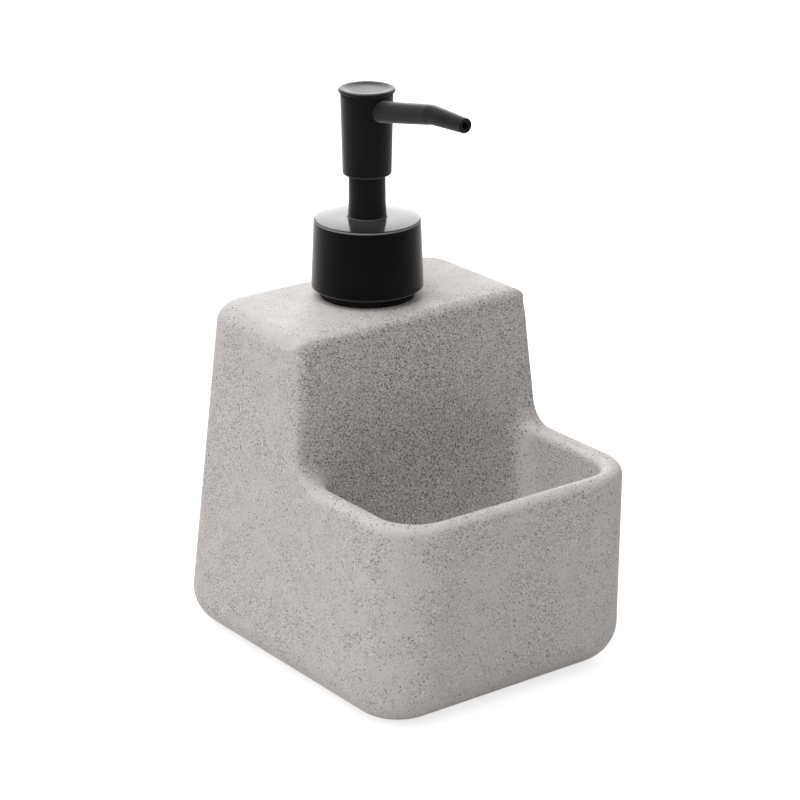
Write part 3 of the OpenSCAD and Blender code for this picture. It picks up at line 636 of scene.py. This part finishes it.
def barrel():
    """The head's outer wall, with a window for the spout's bore that the spout's own wall hides."""
    bore_r = head_d / 2 - head_wall
    core_r = bore_r + head_wall / 4
    low, high = head_top - spout_drop - window_below, head_top - spout_drop + window_above

    def outer_r(z):
        return mix(head_d, head_top_d, (z - head_bottom) / (head_top - head_bottom)) / 2

    outline = [
        (bore_r, head_bottom, 0.2), (head_d / 2, head_bottom, 0.6), (outer_r(low), low, 0),
        (outer_r(high), high, 0), (head_top_d / 2, head_top, 0.35), (core_r, head_top, 0),
        (core_r, high, 0), (core_r, low, 0), (core_r, core_bottom, 0), (bore_r, core_bottom, 0)]
    bm = turned(outline)
    window = []
    for face in bm.faces:
        x, y, z = face.calc_center_median() / MM
        if low < z < high and abs(atan2(x, pump_y - y)) < window_half:
            window.append(face)
    bmesh.ops.delete(bm, geom=window, context="FACES")
    bmesh.ops.bridge_loops(bm, edges=[e for e in bm.edges if e.is_boundary])
    bmesh.ops.recalc_face_normals(bm, faces=bm.faces)
    pump_piece("barrel", bm, "head_black", "pump_head", "head_barrel")


def press_pad():
    """The thumb pad: a thin dished disc over a groove."""
    groove_r, groove_top = head_top_d / 2 - 0.7, head_top + groove_h
    plug_r, plug_z = head_d / 2 - head_wall, head_top - thumb_t / 2
    rim, top = thumb_d / 2, groove_top + thumb_t
    dish_edge, dish_slope = rim - 1.4, rim - 3.4
    outline = [
        (0, plug_z, 0), (plug_r, plug_z, 0.2), (plug_r, head_top, 0), (groove_r, head_top, 0.15),
        (groove_r, groove_top, 0.15), (rim, groove_top, 0.4), (rim, top, 0.7), (dish_edge, top, 0.5),
        (dish_slope, top - 0.75 * thumb_dish, 1.2), (0, top - thumb_dish, 0)]
    pump_piece("press_pad", turned(outline, closed=False), "head_black", "pump_head", "thumb_pad")


# Swept pieces of the pump
def swept(sections, sides):
    """A tube through sections, matrices that place a ring of 1 mm radius. Also gives its end rings."""
    bm = bmesh.new()
    bmesh.ops.create_circle(bm, segments=sides, radius=MM, cap_ends=False)
    verts, edges, before = bm.verts[:], bm.edges[:], Matrix()
    first = edges
    for n, now in enumerate(sections):
        if n:
            made = bmesh.ops.extrude_edge_only(bm, edges=edges)["geom"]
            verts = [g for g in made if isinstance(g, bmesh.types.BMVert)]
            edges = [g for g in made if isinstance(g, bmesh.types.BMEdge) and
                     all(v in verts for v in g.verts)]
        bmesh.ops.transform(bm, matrix=now @ before.inverted(), verts=verts)
        before = now
    return bm, first, edges


def spout():
    """The tapered spout: one tube along its rise, its bend and its tip, and back down the bore.

    A station is (y, height, rise of the tube there, radius).
    """
    bend_steps, sides, mouth = 8, 40, 0.2
    root_r = stem_d / 2 + head_wall
    root_y, root_z = pump_y - root_r, head_top - spout_drop
    bend_y, bend_z = pump_y - spout_reach, root_z + (spout_reach - root_r) * tan(spout_rise)
    centre_y, centre_z = bend_y - spout_bend_r * sin(spout_rise), bend_z - spout_bend_r * cos(spout_rise)
    stations = [(root_y, root_z, spout_rise, spout_d / 2)]
    for n in range(bend_steps + 1):
        s = n / bend_steps
        a = spout_rise * (1 - s)
        stations.append((centre_y + spout_bend_r * sin(a), centre_z + spout_bend_r * cos(a), a,
                         mix(spout_d, spout_tip_d, 1 / 4 + s / 6) / 2))
    bore_r = spout_bore_d / 2
    bore = [(y, z, a, bore_r) for y, z, a, _ in reversed(stations)]
    end_y, end_z = stations[-1][0] - spout_tip_len, stations[-1][1]
    for back, inset in ((tip_round, 0), (0.3 * tip_round, 0.3 * tip_round), (0, tip_round)):
        stations.append((end_y + back, end_z, 0, spout_tip_d / 2 - inset))
    stations += [(end_y, end_z, 0, bore_r + mouth), (end_y + mouth, end_z, 0, bore_r)]

    sections = [Matrix.Translation((0, y * MM, z * MM)) @ Matrix.Rotation(pi / 2 - a, 4, "X")
                @ Matrix.Diagonal((r, r, r, 1)) for y, z, a, r in stations + bore]
    bm, first, last = swept(sections, sides)
    bmesh.ops.bridge_loops(bm, edges=first + last)
    bmesh.ops.recalc_face_normals(bm, faces=bm.faces)
    pump_piece("spout_tube", bm, "head_black", "pump_head", "spout")


def return_coil():
    """The return spring as a round wire."""
    turn_steps, sides = 24, 12
    wire_r = spring_wire_d / 2
    low, high = cage_top + fit_gap + wire_r, piston_bottom - fit_gap - wire_r
    wire = Matrix.Translation((spring_d / 2 * MM, 0, 0)) @ Matrix.Rotation(pi / 2, 4, "X")
    wire = wire @ Matrix.Diagonal((wire_r, wire_r, wire_r, 1))
    count = spring_turns * turn_steps
    sections = [Matrix.Translation((0, pump_y * MM, mix(low, high, n / count) * MM))
                @ Matrix.Rotation(2 * pi * n / turn_steps, 4, "Z") @ wire for n in range(count + 1)]
    bm, first, last = swept(sections, sides)
    for ring in (first, last):
        bmesh.ops.contextual_create(bm, geom=ring)
    bmesh.ops.recalc_face_normals(bm, faces=bm.faces)
    coil = finished("return_coil", bm, "spring_steel", "pump_unit", "return_spring")
    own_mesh(coil)


make_camera()
casting()
collar_shell()
neck()
barrel()
press_pad()
spout()
return_coil()


# Carried-over pieces
for part in frame["record"]["subparts"]:
    dress(nodes[part["node"]], part["material_slot"])


# Studio, in metres
def stage_plane():
    """A white floor that keeps a soft shadow."""
    paper, glow = (0.8, 0.8, 0.8, 1), 0.72
    bm = bmesh.new()
    bmesh.ops.create_grid(bm, x_segments=8, y_segments=8, size=3.0)
    mesh = bpy.data.meshes.new("floor")
    bm.to_mesh(mesh)
    bm.free()
    floor = bpy.data.objects.new("floor", mesh)
    bpy.context.scene.collection.objects.link(floor)
    material, tree, shader = new_material("floor_white", Base_Color=paper, Roughness=0.9,
                                          Emission_Color=(1, 1, 1, 1))
    seen = add_node(tree, "LightPath").outputs["Is Camera Ray"]
    tree.links.new(times(tree, seen, glow), shader["Emission Strength"])
    mesh.materials.append(material)


def softbox(name, place, aim, size, watts, tint):
    data = bpy.data.lights.new(name, "AREA")
    data.color = tint
    data.shape, data.size, data.energy = "SQUARE", size, watts
    lamp = bpy.data.objects.new(name, data)
    lamp.location = place
    lamp.rotation_euler = (Vector(aim) - Vector(place)).to_track_quat("-Z", "Y").to_euler()
    bpy.context.scene.collection.objects.link(lamp)


def make_world():
    """White to the camera, in gloss and through clear pieces, and a soft warm fill for the rest."""
    fill, white = (0.25, 0.23, 0.222, 1), (1, 1, 1, 1)
    world = bpy.data.worlds.new("studio")
    bpy.context.scene.world = world
    world.use_nodes = True
    tree = world.node_tree
    path = add_node(tree, "LightPath").outputs
    mirrored = calc(tree, "MAXIMUM", path["Is Glossy Ray"], path["Is Transmission Ray"])
    seen = calc(tree, "MAXIMUM", path["Is Camera Ray"], mirrored)
    tree.links.new(blend_colour(tree, seen, fill, white), tree.nodes["Background"].inputs["Color"])


stage_plane()
make_world()
mid_body, tower_top = (0, 0, 0.08), (0, 0, 0.1)
neutral, warm = (1, 1, 1), (1, 0.95, 0.91)
softbox("top_box", (-0.25, 0.3, 1.3), mid_body, size=1.1, watts=10.3, tint=neutral)
softbox("left_box", (-1.1, -0.3, 1.1), mid_body, size=0.8, watts=4.2, tint=warm)
softbox("front_box", (-0.6, -1.1, 1.2), mid_body, size=1.0, watts=1.8, tint=neutral)
softbox("back_box", (0.85, 1.1, 0.55), tower_top, size=0.7, watts=8.0, tint=neutral)

bpy.context.scene.view_settings.view_transform = "Standard"
